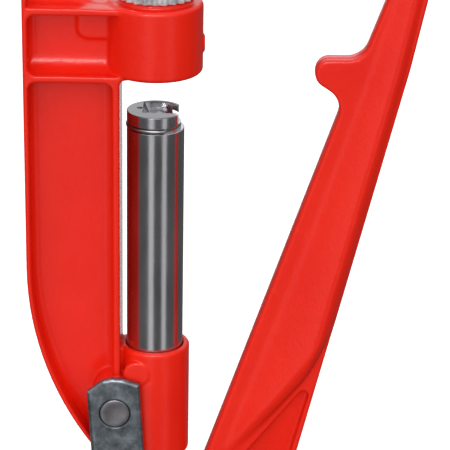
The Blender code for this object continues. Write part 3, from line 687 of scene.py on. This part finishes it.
def make_links(zinc, pin_steel):
    """Link plates with chamfered pin holes, the link pin and the frame's stub pins."""
    for node in ("link_plate_front", "link_plate_rear"):
        low, high = node_box(node)
        grid = Grid(low - Vector((1, 1, 1)), high + Vector((1, 1, 1)), 0.35)
        through = np.abs(grid.y - (low.y + high.y) / 2) - (high.y - low.y) / 2
        plate = meet(outline(grid, plate_side()), through, 2.5)
        for place, radius in ((FRAME_PIN, FRAME_PIN_R), (LINK_PIN, LINK_PIN_R)):
            plate = cut(plate, grid.along_y(place, radius + CLEAR), 0.9)
        skin(f"{node}_forged", plate, grid, "links", [node], zinc)
    for node, place, body in (
        ("link_pin", LINK_PIN, "links"),
        ("frame_pin_front", FRAME_PIN, "frame"),
        ("frame_pin_rear", FRAME_PIN, "frame"),
    ):
        low, high = node_box(node)
        radius = (high.x - low.x) / 2
        made = bmesh.new()
        centre = Vector((place.x, 0, place.z))
        turned(made, faced_pin(radius, low.y, high.y), centre, "Y", 96)
        add_piece(f"{node}_turned", finish_mesh(node, made), body, [node], pin_steel)


def make_ring(node, body, material, place, axis, bore, chamfer=0.4):
    """Turned ring in the place of a CAD node, with chamfered edges; a pin where bore is 0."""
    low, high = node_box(node)
    start, end = (low.z, high.z) if axis == "Z" else (low.y, high.y)
    centre = Vector((place[0], 0, place[2])) if axis == "Y" else Vector()
    made = bmesh.new()
    turned(made, chamfered(bore, (high.x - low.x) / 2, start, end, chamfer), centre, axis, 96)
    add_piece(f"{node}_turned", finish_mesh(node, made), body, [node], material)


def make_lock_screw(dark):
    """Set screw with a hexagon socket, in the back of the collar."""
    low, high = node_box("die_lock_screw")
    middle = (low + high) / 2
    grid = Grid(low - Vector((0.6, 0.6, 0.6)), high + Vector((0.6, 0.6, 0.6)), 0.12)
    screw = meet(grid.along_y(middle, LOCK_R), np.abs(grid.y - middle.y) - (high.y - low.y) / 2, 0.35)
    flats = [
        np.abs(grid.x * math.cos(a) + (grid.z - middle.z) * math.sin(a)) - 1.5
        for a in (0, math.pi / 3, 2 * math.pi / 3)
    ]
    socket = np.maximum(np.maximum(np.maximum(flats[0], flats[1]), flats[2]), high.y - 3.0 - grid.y)
    skin("lock_screw", cut(screw, socket, 0.15), grid, "frame", ["die_lock_screw"], dark)


# Stage


def make_world():
    """White room. Mirrored, it is dim but for a bright ceiling and a bright strip straight behind the press.
    Its soft light comes mostly from above in front, and from behind. The camera sees plain white."""
    world = bpy.data.worlds.new("studio")
    bpy.context.scene.world = world
    world.use_nodes = True
    tree = world.node_tree
    where = tree.nodes.new("ShaderNodeTexCoord")
    split = tree.nodes.new("ShaderNodeSeparateXYZ")
    tree.links.new(where.outputs["Generated"], split.inputs["Vector"])

    def between(source, low, high, value_low, value_high, shape="SMOOTHSTEP"):
        span = tree.nodes.new("ShaderNodeMapRange")
        span.interpolation_type = shape
        span.inputs["From Min"].default_value = low
        span.inputs["From Max"].default_value = high
        for socket, value in (("To Min", value_low), ("To Max", value_high)):
            if isinstance(value, float):
                span.inputs[socket].default_value = value
            else:
                tree.links.new(value, span.inputs[socket])
        tree.links.new(source, span.inputs["Value"])
        return span.outputs["Result"]

    def combine(operation, *sources):
        made = tree.nodes.new("ShaderNodeMath")
        made.operation = operation
        for source, socket in zip(sources, made.inputs):
            tree.links.new(source, socket)
        return made.outputs["Value"]

    straight = combine("SUBTRACT", split.outputs["Y"], combine("ABSOLUTE", split.outputs["X"]))
    strip = between(straight, 0.7, 0.82, DIM, WHITE)
    mirrored = combine("MAXIMUM", strip, between(split.outputs["Z"], 0.15, 0.45, DIM, BRIGHT))
    towards = tree.nodes.new("ShaderNodeVectorMath")
    towards.operation = "DOT_PRODUCT"
    tree.links.new(where.outputs["Generated"], towards.inputs[0])
    towards.inputs[1].default_value = Vector((-0.1, -0.77, 0.62)).normalized()
    key = between(towards.outputs["Value"], 0.0, 1.0, SOFT[0], SOFT[1])
    behind = between(split.outputs["Y"], 0.4, 0.85, 0.0, SOFT_BEHIND)
    soft = combine("MAXIMUM", key, behind)
    path = tree.nodes.new("ShaderNodeLightPath")
    seen = between(path.outputs["Is Diffuse Ray"], 0.0, 1.0, mirrored, soft, "LINEAR")
    seen = between(path.outputs["Is Camera Ray"], 0.0, 1.0, seen, WHITE, "LINEAR")
    tree.nodes["Background"].inputs["Color"].default_value = (1.0, 1.0, 1.0, 1.0)
    tree.links.new(seen, tree.nodes["Background"].inputs["Strength"])


def make_lights():
    """Two tall lights in front and a narrow bright one above. They only make highlights: diffuse light is
    left to the room."""
    aim, distance = Vector((-0.05, 0.0, 0.3)), 1.6
    for name, turn_deg, lift_deg, width, height, radiance in (
        ("light_left", -14.5, 0.0, 0.55, 2.8, 0.62),
        ("light_right", 38.0, 0.0, 0.5, 2.8, 0.58),
        ("light_above", -8.0, 44.0, 1.1, 0.3, 12.0),
    ):
        light = bpy.data.lights.new(name, "AREA")
        light.shape = "RECTANGLE"
        light.size, light.size_y = width, height
        light.energy = radiance * math.pi * light.size * light.size_y
        lamp = bpy.data.objects.new(name, light)
        bpy.context.scene.collection.objects.link(lamp)
        turn, lift = math.radians(turn_deg), math.radians(lift_deg)
        level = Vector((math.sin(turn), -math.cos(turn), 0)) * math.cos(lift)
        lamp.location = aim + (level + Vector((0, 0, math.sin(lift)))) * distance
        lamp.rotation_euler = (aim - lamp.location).to_track_quat("-Z", "Y").to_euler()
        lamp.visible_camera = lamp.visible_diffuse = False


def make_floor():
    """White floor that takes the press's shadow, and neither lights the press nor is mirrored in it."""
    made = bmesh.new()
    bmesh.ops.create_circle(made, cap_ends=True, segments=64, radius=12.0)
    mesh = bpy.data.meshes.new("floor")
    made.to_mesh(mesh)
    made.free()
    floor = bpy.data.objects.new("floor", mesh)
    bpy.context.scene.collection.objects.link(floor)
    floor.visible_diffuse = floor.visible_glossy = floor.visible_shadow = False
    white = bpy.data.materials.new("white_floor")
    white.use_nodes = True
    main = white.node_tree.nodes["Principled BSDF"]
    main.inputs["Base Color"].default_value = (0.9, 0.9, 0.9, 1.0)
    main.inputs["Roughness"].default_value = 1.0
    main.inputs["Specular IOR Level"].default_value = 0.0
    main.inputs["Emission Color"].default_value = (1.0, 1.0, 1.0, 1.0)
    main.inputs["Emission Strength"].default_value = 0.55
    floor.data.materials.append(white)


def make_camera():
    """Long lens that looks down at the middle of the press, a little rolled."""
    camera = bpy.data.objects.new("camera", bpy.data.cameras.new("camera"))
    bpy.context.scene.collection.objects.link(camera)
    bpy.context.scene.camera = camera
    level, rise = Vector((1, 0, 0)), Vector((0, math.sin(LOOK_DOWN), math.cos(LOOK_DOWN)))
    right = math.cos(ROLL) * level + math.sin(ROLL) * rise
    up = math.cos(ROLL) * rise - math.sin(ROLL) * level
    ahead = Vector((0, math.cos(LOOK_DOWN), -math.sin(LOOK_DOWN)))
    turn = Matrix((right, up, -ahead)).transposed()
    camera.matrix_world = Matrix.Translation(EYE) @ turn.to_4x4()
    camera.data.lens, camera.data.sensor_width = LENS, 36.0


def main():
    paint, steel, zinc = red_paint(), ground_steel(), zinc_plate()
    bronze = plain_metal("bearing_bronze", (0.60, 0.40, 0.17), (0.42, 0.26, 0.10), 0.34)
    dark = plain_metal("spring_steel", (0.42, 0.42, 0.43), (0.30, 0.30, 0.31), 0.3)
    make_frame(paint)
    make_lever(paint)
    make_ram(steel)
    make_snap_ring(dark)
    make_nut(plain_metal("nut_zinc", (0.88, 0.90, 0.92), (0.42, 0.46, 0.50), 0.25, 0.5))
    make_links(zinc, plain_metal("pin_steel", (0.46, 0.44, 0.47), (0.32, 0.31, 0.33), 0.42))
    make_ring("die_insert", "frame", steel, RAM_PIN, "Z", 13.0)
    make_ring("ram_bush_upper", "frame", bronze, RAM_PIN, "Z", RAM_R + CLEAR)
    make_ring("ram_bush_lower", "frame", bronze, RAM_PIN, "Z", RAM_R + CLEAR)
    make_ring("ram_pin", "lever", steel, RAM_PIN, "Y", 0.0, 0.8)
    for side in ("front", "rear"):
        make_ring(f"ram_pin_bush_{side}", "lever", bronze, RAM_PIN, "Y", RAM_PIN_R + CLEAR)
        bore = LINK_PIN_R + LINK_SLACK
        make_ring(f"link_pin_bush_{side}", "lever", bronze, LINK_PIN, "Y", bore)
        bore = LINK_PIN_R + CLEAR
        make_ring(f"link_washer_{side}", "links", zinc, LINK_PIN, "Y", bore, 0.2)
    make_lock_screw(dark)
    make_world()
    make_lights()
    make_floor()
    make_camera()
    bpy.context.scene.view_settings.view_transform = "Standard"
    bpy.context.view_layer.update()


main()
